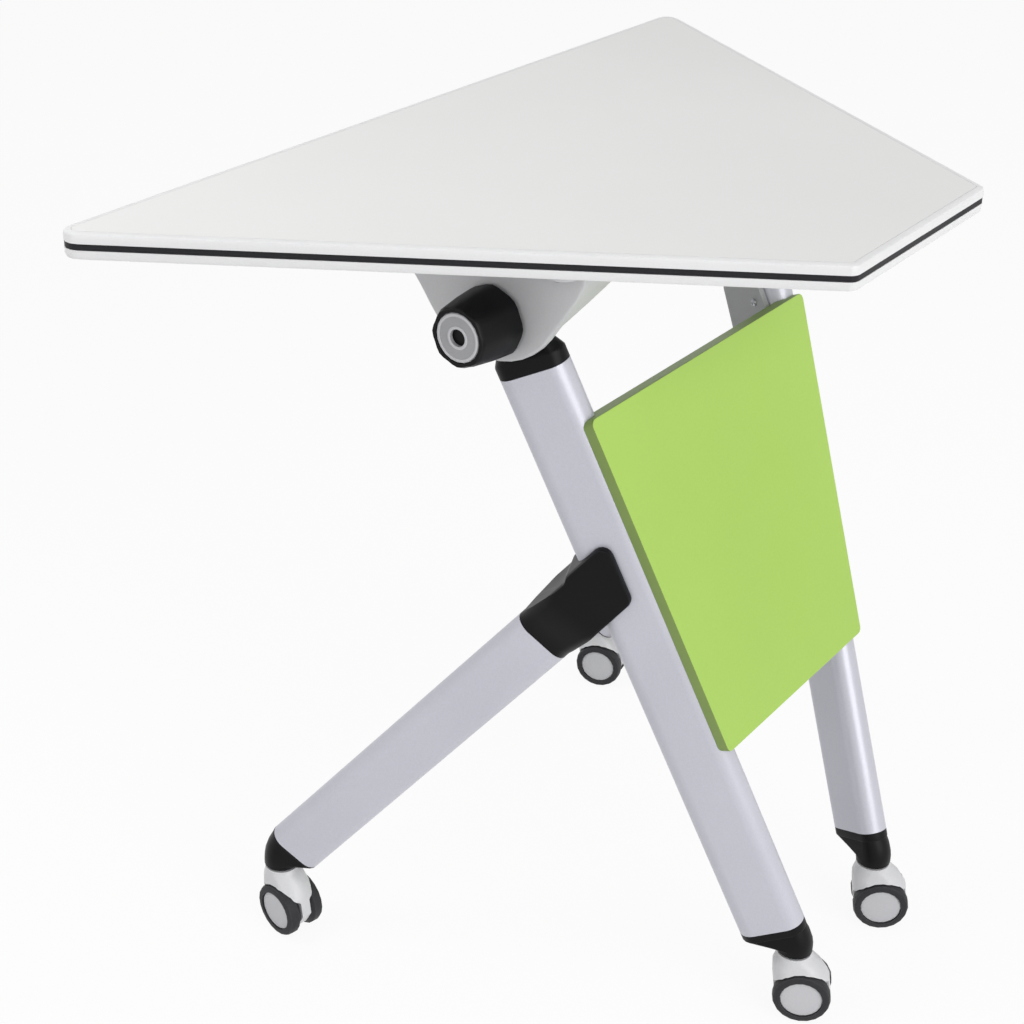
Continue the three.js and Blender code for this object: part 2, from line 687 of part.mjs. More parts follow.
// Elbow: straddles the main leg with a pad on each face and plugs into the brace tube.
function elbowJoint() {
  const half = braceWidth / 2;
  const upper = half + elbowLip;
  const lower = -half + elbowLip;
  const padHalf = mainThickness / 2 + fit + elbowPad;
  const seatHalf = mainWidth / 2;
  const padEnd = (q) => {
    const along = (q + padOverlap * mainAcross.dot(braceAcross)) / mainUp.dot(braceAcross);
    return flat(q, along * mainUp.dot(braceUp) - padOverlap * mainAcross.dot(braceUp));
  };
  const hidden = -elbowLength - 2 * padCornerRadius; // trimmed off by the sleeve
  const corners = [
    flat(half, hidden),
    flat(half, -seatHalf - 2 * elbowLip),
    flat(upper, -seatHalf),
    padEnd(upper),
    padEnd(lower),
    flat(-half, hidden),
  ];
  const outlineShape = new THREE.Shape(roundedOutline(corners, sameRadii(corners, padCornerRadius)));
  const middle = sum(elbowPoint, scaled(acrossFrame, padHalf));
  const back = acrossFrame.clone().negate();
  const block = placed(extruded(outlineShape, 2 * padHalf, elbowBevel), braceAcross, braceUp, back, middle);

  const sleeveRing = (along, width, thickness, radius) => {
    const centre = sum(elbowPoint, scaled(braceUp, along - elbowLength));
    return ovalRing(centre, braceAcross, acrossFrame, width, thickness, radius);
  };
  const wide = 2 * braceWidth;
  const full = 2 * padHalf;
  const soft = braceThickness / 2;
  const [collar, swell, shoulder] = [0.15, 0.4, 0.75].map((share) => elbowRise * share);
  const [swellDepth, shoulderDepth] = [0.3, 0.85].map((share) => lerp(braceThickness, full, share));
  const sleeve = loft([
    sleeveRing(0, braceWidth, braceThickness, soft),
    sleeveRing(collar, braceWidth, braceThickness, soft),
    sleeveRing(swell, braceWidth + elbowLip, swellDepth, soft),
    sleeveRing(shoulder, braceWidth + 2 * elbowLip, shoulderDepth, soft),
    sleeveRing(elbowRise, wide / 2 + 4 * elbowLip, full, soft),
    sleeveRing(elbowLength + wide / 2, wide, full, padCornerRadius),
  ]);

  const seatFrom = sum(elbowPoint, scaled(mainUp, -wide));
  const seatTo = sum(elbowPoint, scaled(mainUp, wide));
  const seat = legSeat(seatFrom, seatTo);
  const inset = 2 * (tubeWall + fit);
  const plugFrom = upBrace(braceTubeTop - plugLength);
  const plugTo = upBrace(elbowToFoot - elbowLength + 1);
  const plug = ovalBar(braceWidth - inset, braceThickness - inset, braceAcross, braceUp, plugFrom, plugTo);
  return join(cut(common(block, sleeve), seat), plug);
}

// Foot cap: plugs into the tube and flows from its oval into the round neck over the caster stem.
function footCap(width, thickness, across, up, end, rim, stemReach) {
  const back = acrossFrame.clone().negate();
  const ring = (below, w, t) => ovalRing(sum(end, scaled(up, -below)), across, back, w, t);
  const inset = 2 * (tubeWall + fit);
  const floor = capBottom - flipHeight;
  const neckRing = (height) =>
    ovalRing(inFrame(stemReach, floor + height), outAlongFrame, back, 2 * neckRadius, 2 * neckRadius);
  const rimRing = ring(rim, width - 1, thickness - 1);
  const neck = neckRing(neckLength);
  const shares = [0.3, 0.6, 0.85];
  const body = loft([
    ring(-plugLength, width - inset, thickness - inset),
    ring(fit, width - inset, thickness - inset),
    ring(fit, width, thickness),
    ring(rim - 1, width, thickness),
    rimRing,
    ...shares.map((share) => blendRings(rimRing, neck, 1 - (1 - share) ** 2, share)),
    neck,
    neckRing(0),
  ]);
  const stemPlace = inFrame(stemReach, floor);
  const socket = rodAlongZ(stemRadius + running, -1, stemLength + 2, smallTurnSteps);
  return cut(body, socket.translate(...stemPlace));
}

const mainFootCap = () =>
  footCap(mainWidth, mainThickness, mainAcross, mainUp, upMain(mainTubeEnd), mainRim, -mainStemReach);
const braceFootCap = () =>
  footCap(braceWidth, braceThickness, braceAcross, braceUp, upBrace(braceTubeEnd), braceRim, braceStemReach);

// Modesty panel, grooved over the round front of the main legs, and the saddles behind it

const panelFront = mainFront + panelCover;
const panelBack = panelFront - panelThickness;
const legAt = (drop) => legSpread - legLean * drop;

function modestyPanel() {
  const corners = [
    flat(legAt(panelBottom) + panelPastLeg, -panelBottom),
    flat(legAt(panelTop) + panelPastLeg, -panelTop),
    flat(-legAt(panelTop) - panelPastLeg, -panelTop),
    flat(-legAt(panelBottom) - panelPastLeg, -panelBottom),
  ];
  const shape = new THREE.Shape(roundedOutline(corners, sameRadii(corners, panelCornerRadius)));
  const board = extruded(shape, panelThickness, panelBevel);
  const front = scaled(panelOut, panelFront);
  const groove = legSeat(downMain(panelBottom * 2), downMain(0)).translate(legSpread, 0, 0);
  const panel = placed(board, alongX, panelUp, panelOut.clone().negate(), front);
  return cut(panel, groove, mirrored(clean(groove)));
}

// The space that a main leg takes, with its clearance.
function legSeat(from, to) {
  return ovalBar(mainWidth + 2 * fit, mainThickness + 2 * fit, mainAcross, mainUp, from, to);
}

// Plate on the inner face of the main leg, drawn up the leg and across it.
function hangerPlate() {
  const corners = [
    flat(-hangerTop, -hangerFront),
    flat(-hangerTop, hangerRear),
    flat(-hangerFoot, mainWidth / 2),
    flat(-hangerFoot, -hangerLap),
    flat(-hangerWaist, -hangerLap),
  ];
  const shape = new THREE.Shape(roundedOutline(corners, sameRadii(corners, hangerCornerRadius)));
  const inside = scaled(acrossFrame, -mainThickness / 2 - fit - hangerWall);
  return placed(extruded(shape, hangerWall + fit), mainUp, mainAcross, acrossFrame, inside);
}

function panelSaddle(drop, ...plates) {
  const beside = new THREE.Vector3().crossVectors(panelOut, mainUp);
  const block = new THREE.BoxGeometry(saddleWidth, saddleDepth, saddleLength);
  block.translate(-saddleWidth / 2, panelBack - fit - saddleDepth / 2, 0);
  const distance = drop / mainUp.dot(panelUp);
  const seat = placed(block, beside, panelOut, mainUp, downMain(distance));
  return cut(join(seat, ...plates), legSeat(downMain(2 * panelBottom), downMain(0)));
}

// Twin wheel caster, drawn from its stem axis on the floor, with its wheels trailing towards +Y

const wheelInner = hoodWeb / 2 + running; // inner face of each wheel from the middle of the caster
const wheelOuter = wheelInner + wheelWidth;

function casterHood() {
  const ring = (height, shift, halfX, halfY) => {
    const centre = new THREE.Vector3(0, shift, height);
    return ovalRing(centre, alongY, alongX, 2 * halfY, 2 * halfX);
  };
  const side = wheelOuter - running;
  const skirt = wheelRadius - running;
  const shoulder = hoodTop - 2 * wheelRadius; // hood above the wheels
  const [neckDrop, domeDrop, skirtDrop] = [0.3, 0.8, 1.5]; // depths of the rings, in shoulders
  const [neckTrail, domeTrail, skirtTrail] = [0.1, 0.4, 0.75]; // shares of the trail at those rings
  const [domeShare, footShare] = [0.88, 0.7]; // shares of the skirt's size at the dome and the foot
  const body = loft([
    ring(hoodTop, 0, neckRadius - running, neckRadius - running),
    ring(hoodTop - shoulder * neckDrop, casterTrail * neckTrail, neckRadius, neckRadius + running),
    ring(hoodTop - shoulder * domeDrop, casterTrail * domeTrail, side * domeShare, skirt * domeShare),
    ring(hoodTop - shoulder * skirtDrop, casterTrail * skirtTrail, side, skirt),
    ring(wheelRadius, casterTrail, side, skirt),
    ring(wheelRadius / 2, casterTrail, side, wheelRadius * footShare),
  ]);
  const clearance = wheelRadius + 2 * running;
  const wheelSpace = (from, to) => rodAlongX(clearance, from, to).translate(0, casterTrail, wheelRadius);
  const axleHole = rodAlongX(axleRadius + fit, -hoodWeb, hoodWeb, smallTurnSteps);
  const stemHole = rodAlongZ(stemRadius + fit, hoodTop - stemSeat, hoodTop + 1, smallTurnSteps);
  const far = 2 * wheelOuter;
  return cut(
    body,
    wheelSpace(hoodWeb / 2, far),
    wheelSpace(-far, -hoodWeb / 2),
    axleHole.translate(0, casterTrail, wheelRadius),
    stemHole,
  );
}

function casterStem() {
  return turnedAlongZ([
    [0, hoodTop - stemSeat + fit],
    [stemRadius, hoodTop - stemSeat + fit],
    [stemRadius, hoodTop + fit],
    [stemCollarRadius, hoodTop + fit],
    [stemCollarRadius, capBottom - fit],
    [stemRadius, capBottom - fit],
    [stemRadius, capBottom + stemLength - 1.5],
    [stemRadius - 1.5, capBottom + stemLength],
    [0, capBottom + stemLength],
  ], smallTurnSteps);
}

const hubInner = wheelOuter - hubRecess - hubWidth;
const axleEnd = wheelOuter - hubRecess - hubWidth / 3;
const casterAxle = () => rodAlongX(axleRadius, -axleEnd, axleEnd, smallTurnSteps);

function casterTyre() {
  const bore = wheelRadius - tyreDepth;
  const corner = tyreRounding * (1 - Math.SQRT1_2);
  const edge = wheelRadius - tyreRounding;
  return turnedAlongX([
    [bore, wheelInner],
    [edge, wheelInner],
    [wheelRadius, wheelInner + tyreRounding],
    [wheelRadius, wheelOuter - tyreRounding],
    [wheelRadius - corner, wheelOuter - corner],
    [edge, wheelOuter],
    [bore, wheelOuter],
    [bore, wheelInner],
  ]);
}

function casterHub() {
  const rim = wheelRadius - tyreDepth - fit;
  const face = wheelOuter - hubRecess;
  return turnedAlongX([
    [0, axleEnd + fit],
    [axleRadius + fit, axleEnd + fit],
    [axleRadius + fit, hubInner],
    [rim, hubInner],
    [rim, face - 1],
    [rim - 1, face - 0.4],
    [0, face],
  ]);
}

// The table

function piece(name, geometry, finish) {
  const mesh = new THREE.Mesh(geometry, new THREE.MeshStandardMaterial(finishes[finish]));
  mesh.name = name;
  return mesh;
}

// The pieces of one caster: name, geometry and finish
const casterFrame = [
  ['hood', casterHood(), 'paleHood'],
  ['stem', casterStem(), 'steel'],
];
const straightAxle = casterAxle();
const wheelPieces = [
  ['tyre', casterTyre(), 'blackTyre'],
  ['hub', casterHub(), 'greyPlastic'],
];

function caster(place) {
  const group = new THREE.Group();
  for (const [name, geometry, finish] of casterFrame) {
    group.add(piece(`caster_${name}_${place}`, geometry, finish));
  }
  const wheels = new THREE.Group();
  wheels.position.set(0, casterTrail, wheelRadius);
  wheels.add(piece(`caster_axle_${place}`, straightAxle, 'steel'));
  for (const [name, geometry, finish] of wheelPieces) {
    wheels.add(piece(`caster_${name}_${place}_a`, geometry, finish));
    wheels.add(piece(`caster_${name}_${place}_b`, mirrored(geometry), finish));
  }
  group.add(wheels);
  return group;
}

// Everything that has a right and a left copy, drawn from the point where the flip axis meets the leg.
const pairedPieces = [
  ['flip_bracket', flipBracket(), 'greyDieCast'],
  ['stop_pin', stopPin(), 'steel'],
  ['leg_head', legHead(), 'blackPlastic'],
  ['pivot_bolt', pivotBolt(), 'steel'],
  ['clamp_knob', clampKnob(), 'blackPlastic'],
  ['knob_cap', knobCap(), 'greyPlastic'],
  ['main_leg', mainLeg(), 'silverPaint'],
  ['brace_leg', braceLeg(), 'silverPaint'],
  ['elbow_joint', elbowJoint(), 'blackPlastic'],
  ['main_foot_cap', mainFootCap(), 'blackPlastic'],
  ['brace_foot_cap', braceFootCap(), 'blackPlastic'],
  ['upper_saddle', panelSaddle(panelTop + saddleInset, hangerPlate()), 'greyPlastic'],
  ['lower_saddle', panelSaddle(panelBottom - saddleInset), 'blackPlastic'],
];

function legSide(side) {
  const group = new THREE.Group();
  const sign = side === 'right' ? 1 : -1;
  group.position.set(sign * legSpread, flipSetback, flipHeight);
  for (const [name, geometry, finish] of pairedPieces) {
    const handed = side === 'right' ? geometry : mirrored(geometry);
    group.add(piece(`${name}_${side}`, handed, finish));
  }
  for (const [foot, reach] of [['main', -mainStemReach], ['brace', braceStemReach]]) {
    const place = inFrame(reach, -flipHeight);
    const wheels = caster(`${foot}_${side}`);
    wheels.position.set(sign * place.x, place.y, place.z);
    wheels.rotation.z = degToRad(casterTurns[`${foot}_${side}`]);
    group.add(wheels);
  }
  return group;
}

function middlePieces() {
  const group = new THREE.Group();
  const axis = new THREE.Group();
  axis.position.set(0, flipSetback, flipHeight);
  axis.add(piece('cross_tube', crossTube(), 'steel'));
  axis.add(piece('modesty_panel', modestyPanel(), 'greenBoard'));
  group.add(piece('table_top', tableTop(), 'whiteLaminate'));
  group.add(piece('edge_band', edgeBand(), 'whiteEdge'));
  group.add(piece('edge_stripe', edgeStripe(), 'charcoalStripe'));
  group.add(axis);
  return group;
}

// The origin lies on the floor, in the middle of the box round the whole table.
const table = new THREE.Group();
table.name = 'flip_top_training_table';
table.add(middlePieces(), legSide('right'), legSide('left'));
const footprint = new THREE.Box3().setFromObject(table).getCenter(new THREE.Vector3());
table.position.set(-footprint.x, -footprint.y, 0);

export default table;
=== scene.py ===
"""Flip top training table: finishes, fasteners, studio light and the photograph's view."""

import logging
import math
from dataclasses import dataclass
from enum import Enum
from typing import Any

import bmesh
import bpy
from mathutils import Matrix, Vector


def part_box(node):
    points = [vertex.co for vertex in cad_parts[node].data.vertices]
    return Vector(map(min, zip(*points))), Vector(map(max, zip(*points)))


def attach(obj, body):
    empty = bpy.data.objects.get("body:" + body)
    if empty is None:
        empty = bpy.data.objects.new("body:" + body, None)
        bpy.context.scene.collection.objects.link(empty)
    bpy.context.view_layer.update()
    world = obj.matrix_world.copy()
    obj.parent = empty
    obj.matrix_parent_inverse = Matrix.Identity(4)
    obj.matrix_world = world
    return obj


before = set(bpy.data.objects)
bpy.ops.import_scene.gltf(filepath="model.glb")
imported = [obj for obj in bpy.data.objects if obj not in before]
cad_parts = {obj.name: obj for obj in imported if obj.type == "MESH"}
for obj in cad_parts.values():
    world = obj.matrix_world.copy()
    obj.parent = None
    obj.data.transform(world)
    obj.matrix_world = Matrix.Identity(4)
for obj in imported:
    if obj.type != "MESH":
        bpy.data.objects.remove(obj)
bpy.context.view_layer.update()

LOG = logging.getLogger("training_table")

MM = 0.001
WELD = 1e-6
SMOOTH_ANGLE = math.radians(32)

Colour = tuple[float, float, float, float]
Socket = bpy.types.NodeSocket
Seat = tuple[Vector, Vector]


class Side(Enum):
    """The two leg frames, named from the user's seat."""

    RIGHT = "right"
    LEFT = "left"


class Slot(Enum):
    """Material slots of the record."""

    LAMINATE = "top_laminate"
    EDGE = "edge_white"
    STRIPE = "edge_stripe"
    SILVER = "leg_silver"
    DIE_CAST = "bracket_grey"
    BLACK = "black_plastic"
    GREY = "grey_plastic"
    MID_GREY = "mid_grey"
    HOOD = "hood_pale"
    TYRE = "tyre_black"
    GREEN = "panel_green"
    STEEL = "plain_steel"


def srgb(red: int, green: int, blue: int) -> Colour:
    """Turns a screen colour into the linear colour that a shader takes.

    Args:
        red, green, blue: the colour from 0 to 255.

    Returns:
        The linear colour with full alpha.
    """

    def linear(value: int) -> float:
        """One channel, from the screen curve to linear light."""
        share = value / 255
        if share <= 0.04045:
            return share / 12.92
        return ((share + 0.055) / 1.055) ** 2.4

    return (linear(red), linear(green), linear(blue), 1.0)


class Wiring:
    """Fills one node tree, with values and links given by socket."""

    def __init__(self, tree: bpy.types.NodeTree) -> None:
        """Keeps the tree that the nodes go into."""
        self.tree = tree

    def add(self, kind: str, values: dict[Any, Any] | None = None, **settings: Any) -> bpy.types.Node:
        """Adds a node.

        Args:
            kind: Blender's name of the node type.
            values: input sockets by name or number, each with a constant or a socket to link.
            settings: properties of the node itself.

        Returns:
            The new node.
        """
        node = self.tree.nodes.new(kind)
        for name, value in settings.items():
            setattr(node, name, value)
        for name, value in (values or {}).items():
            if isinstance(value, Socket):
                self.tree.links.new(value, node.inputs[name])
            else:
                node.inputs[name].default_value = value
        return node

    def math(self, operation: str, first: Any, second: Any = 0.0) -> Socket:
        """One sum, product or comparison of two values."""
        return self.add("ShaderNodeMath", {0: first, 1: second}, operation=operation).outputs[0]

    def remap(self, value: Any, low: float, high: float, to_low: float, to_high: float) -> Socket:
        """Carries a value from one range to another, clamped at both ends."""
        ends = {"From Min": low, "From Max": high, "To Min": to_low, "To Max": to_high}
        return self.add("ShaderNodeMapRange", {"Value": value, **ends}).outputs[0]

    def mix(self, share: Any, first: Any, second: Any, blend: str = "MIX") -> Socket:
        """Mixes two colours by a share."""
        node = self.add("ShaderNodeMix", data_type="RGBA", blend_type=blend)
        for index, value in ((0, share), (6, first), (7, second)):
            if isinstance(value, Socket):
                self.tree.links.new(value, node.inputs[index])
            else:
                node.inputs[index].default_value = value
        return node.outputs[2]

    def noise(self, position: Any, scale: Any, detail: float = 2.0, rough: float = 0.5) -> Socket:
        """A cloud of values from 0 to 1."""
        values = {"Vector": position, "Scale": scale, "Detail": detail, "Roughness": rough}
        return self.add("ShaderNodeTexNoise", values).outputs["Fac"]

    def group(self, tree: bpy.types.NodeTree, values: dict[str, Any]) -> bpy.types.Node:
        """Places a shared effect with its own values."""
        node = self.tree.nodes.new("ShaderNodeGroup")
        node.node_tree = tree
        for name, value in values.items():
            if isinstance(value, Socket):
                self.tree.links.new(value, node.inputs[name])
            else:
                node.inputs[name].default_value = value
        return node


class SharedEffects:
    """Shader groups that several finishes use."""

    def __init__(self) -> None:
        """Builds each group once."""
        self.mottle = self._mottle()
        self.grain = self._grain()
        self.wear = self._wear()
        self.handling = self._handling()

    @staticmethod
    def _new(
        name: str, inputs: dict[str, tuple[str, Any]], outputs: list[str]
    ) -> tuple[bpy.types.NodeTree, Wiring, bpy.types.Node, bpy.types.Node]:
        """Starts a group.

        Args:
            name: the group's name.
            inputs: socket type and default of each named input.
            outputs: names of the float outputs.

        Returns:
            The tree, its wiring, and its input and output nodes.
        """
        tree = bpy.data.node_groups.new(name, "ShaderNodeTree")
        for label, (kind, value) in inputs.items():
            socket = tree.interface.new_socket(name=label, in_out="INPUT", socket_type=kind)
            if value is not None:
                socket.default_value = value
        for label in outputs:
            tree.interface.new_socket(name=label, in_out="OUTPUT", socket_type="NodeSocketFloat")
        wiring = Wiring(tree)
        return tree, wiring, wiring.add("NodeGroupInput"), wiring.add("NodeGroupOutput")

    def _mottle(self) -> bpy.types.NodeTree:
        """Cloudy variation on a broad and a fine scale."""
        tree, w, given, result = self._new(
            "mottle",
            {
                "Position": ("NodeSocketVector", None),
                "Broad Scale": ("NodeSocketFloat", 6.0),
                "Fine Scale": ("NodeSocketFloat", 400.0),
                "Fine Share": ("NodeSocketFloat", 0.4),
            },
            ["Value"],
        )
        broad = w.noise(given.outputs["Position"], given.outputs["Broad Scale"], 3.0)
        fine = w.noise(given.outputs["Position"], given.outputs["Fine Scale"], 2.0, 0.6)
        both = w.add(
            "ShaderNodeMix", {0: given.outputs["Fine Share"], 2: broad, 3: fine}, data_type="FLOAT"
        ).outputs[0]
        spread = w.remap(both, 0.3, 0.7, 0.0, 1.0)
        tree.links.new(spread, result.inputs["Value"])
        return tree

    def _grain(self) -> bpy.types.NodeTree:
        """Fine pebbled texture of a mould or of a sprayed coat."""
        tree, w, given, result = self._new(
            "moulded_grain",
            {
                "Position": ("NodeSocketVector", None),
                "Scale": ("NodeSocketFloat", 1200.0),
                "Softness": ("NodeSocketFloat", 0.5),
            },
            ["Height"],
        )
        cells = w.add(
            "ShaderNodeTexVoronoi",
            {
                "Vector": given.outputs["Position"],
                "Scale": given.outputs["Scale"],
                "Smoothness": given.outputs["Softness"],
            },
            feature="SMOOTH_F1",
        ).outputs["Distance"]
        cloud = w.noise(given.outputs["Position"], given.outputs["Scale"], 1.0)
        height = w.math("ADD", w.math("MULTIPLY", cells, 0.6), w.math("MULTIPLY", cloud, 0.4))
        tree.links.new(height, result.inputs["Height"])
        return tree

    def _wear(self) -> bpy.types.NodeTree:
        """Broken mask along the edges of a piece, where hands and feet rub it."""
        tree, w, given, result = self._new(
            "edge_wear",
            {
                "Position": ("NodeSocketVector", None),
                "Radius": ("NodeSocketFloat", 1.2 * MM),
                "Break Scale": ("NodeSocketFloat", 90.0),
            },
            ["Mask"],
        )
        rounded = w.add("ShaderNodeBevel", {"Radius": given.outputs["Radius"]}, samples=4)
        plain = w.add("ShaderNodeNewGeometry")
        turn = w.add(
            "ShaderNodeVectorMath",
            {0: rounded.outputs["Normal"], 1: plain.outputs["Normal"]},
            operation="DOT_PRODUCT",
        ).outputs["Value"]
        edge = w.remap(turn, 0.99, 0.88, 0.0, 1.0)
        cloud = w.noise(given.outputs["Position"], given.outputs["Break Scale"], 3.0)
        breaks = w.remap(cloud, 0.35, 0.65, 0.25, 1.0)
        tree.links.new(w.math("MULTIPLY", edge, breaks), result.inputs["Mask"])
        return tree

    def _handling(self) -> bpy.types.NodeTree:
        """Soft smudges and hair lines that change how a surface shines."""
        tree, w, given, result = self._new(
            "handling",
            {
                "Position": ("NodeSocketVector", None),
                "Smudge Scale": ("NodeSocketFloat", 9.0),
                "Line Scale": ("NodeSocketFloat", 40.0),
            },
            ["Mask"],
        )
        cloud = w.noise(given.outputs["Position"], given.outputs["Smudge Scale"], 4.0)
        smudge = w.remap(cloud, 0.4, 0.72, 0.0, 1.0)
        drawn_out = {"Rotation": (0.0, 0.0, 0.6), "Scale": (1.0, 28.0, 28.0)}
        turned = w.add(
            "ShaderNodeMapping", {"Vector": given.outputs["Position"], **drawn_out}
        ).outputs["Vector"]
        lines = w.remap(w.noise(turned, given.outputs["Line Scale"], 2.0), 0.66, 0.76, 0.0, 0.6)
        tree.links.new(w.math("MAXIMUM", smudge, lines), result.inputs["Mask"])
        return tree


@dataclass(frozen=True)
class Finish:
    """One finish of the table, from which its material is made."""

    slot: Slot
    dark: Colour
    light: Colour
    rough: tuple[float, float]
    metallic: float = 0.0
    broad_scale: float = 7.0
    fine_scale: float = 500.0
    fine_share: float = 0.4
    grain_scale: float = 1200.0
    grain_depth: float = 0.02 * MM
    grain_strength: float = 0.3
    smudge_scale: float = 9.0
    wear_colour: Colour | None = None
    wear_radius: float = 1.2 * MM
    wear_amount: float = 0.5
    coat: float = 0.0
    specular: float = 0.5

    @property
    def name(self) -> str:
        """The material's name."""
        return self.slot.value

    def base(self, w: Wiring, effects: SharedEffects, position: Socket) -> Socket:
        """Colour over the surface, before wear."""
        values = {
            "Position": position,
            "Broad Scale": self.broad_scale,
            "Fine Scale": self.fine_scale,
            "Fine Share": self.fine_share,
        }
        mottle = w.group(effects.mottle, values).outputs["Value"]
        return w.mix(mottle, self.dark, self.light)

    def height(self, w: Wiring, effects: SharedEffects, position: Socket) -> Socket:
        """Height of the fine texture, from 0 to 1."""
        values = {"Position": position, "Scale": self.grain_scale}
        return w.group(effects.grain, values).outputs["Height"]

    def build(self, effects: SharedEffects) -> bpy.types.Material:
        """Makes the material.

        Args:
            effects: the shared shader groups.

        Returns:
            The finished material.
        """
        material = bpy.data.materials.new(self.name)
        material.use_nodes = True
        material.node_tree.nodes.clear()
        w = Wiring(material.node_tree)
        position = w.add("ShaderNodeTexCoord").outputs["Object"]
        colour = self.base(w, effects, position)
        touch = {"Position": position, "Smudge Scale": self.smudge_scale}
        handled = w.group(effects.handling, touch).outputs["Mask"]
        rough = w.remap(handled, 0.0, 1.0, *self.rough)
        if self.wear_colour:
            rub = {"Position": position, "Radius": self.wear_radius}
            worn = w.group(effects.wear, rub).outputs["Mask"]
            colour = w.mix(w.math("MULTIPLY", worn, self.wear_amount), colour, self.wear_colour)
        bump = w.add(
            "ShaderNodeBump",
            {
                "Strength": self.grain_strength,
                "Distance": self.grain_depth,
                "Height": self.height(w, effects, position),
            },
        ).outputs["Normal"]
        shader = w.add(
            "ShaderNodeBsdfPrincipled",
            {
                "Base Color": colour,
                "Roughness": rough,
                "Metallic": self.metallic,
                "Coat Weight": self.coat,
                "Specular IOR Level": self.specular,
                "Normal": bump,
            },
        )
        w.add("ShaderNodeOutputMaterial", {"Surface": shader.outputs["BSDF"]})
        return material


@dataclass(frozen=True)
class BrushedFinish(Finish):
    """Metal with fine lines along one direction."""

    stretch: tuple[float, float, float] = (1.0, 30.0, 30.0)

    def height(self, w: Wiring, effects: SharedEffects, position: Socket) -> Socket:
        """Height of the drawn lines."""
        drawn = w.add("ShaderNodeMapping", {"Vector": position, "Scale": self.stretch}).outputs["Vector"]
        return w.noise(drawn, self.grain_scale, 3.0)


@dataclass(frozen=True)
class FlakeFinish(Finish):
    """Silver paint: metal flakes under a thin clear coat."""

    flake_scale: float = 2600.0
    flake_amount: float = 0.35

    def base(self, w: Wiring, effects: SharedEffects, position: Socket) -> Socket:
        """Clouded silver with brighter and darker flakes."""
        plain = Finish.base(self, w, effects, position)
        cells = w.add("ShaderNodeTexVoronoi", {"Vector": position, "Scale": self.flake_scale})
        flake = w.remap(cells.outputs["Color"], 0.0, 1.0, 0.82, 1.12)
        tinted = w.mix(1.0, plain, flake, "MULTIPLY")
        return w.mix(self.flake_amount, plain, tinted)


@dataclass(frozen=True)
class BoardFinish(Finish):
    """Laminated board whose edge faces are coloured a darker, streaked olive."""

    edge_dark: Colour = (0.2, 0.2, 0.2, 1.0)
    edge_light: Colour = (0.25, 0.25, 0.25, 1.0)
    face: tuple[float, float, float] = (0.0, 1.0, 0.0)

    def base(self, w: Wiring, effects: SharedEffects, position: Socket) -> Socket:
        """Board colour on the two faces, a darker streaked olive on the edge faces."""
        plain = Finish.base(self, w, effects, position)
        normal = w.add("ShaderNodeTexCoord").outputs["Normal"]
        facing = w.add(
            "ShaderNodeVectorMath", {0: normal, 1: self.face}, operation="DOT_PRODUCT"
        ).outputs["Value"]
        # faces that look sideways of the board's face direction are coloured a darker olive
        on_edge = w.remap(w.math("ABSOLUTE", facing), 0.85, 0.55, 0.0, 1.0)
        streaks = w.noise(position, self.broad_scale * 8, 4.0)
        edge_face_colour = w.mix(streaks, self.edge_dark, self.edge_light)
        return w.mix(on_edge, plain, edge_face_colour)


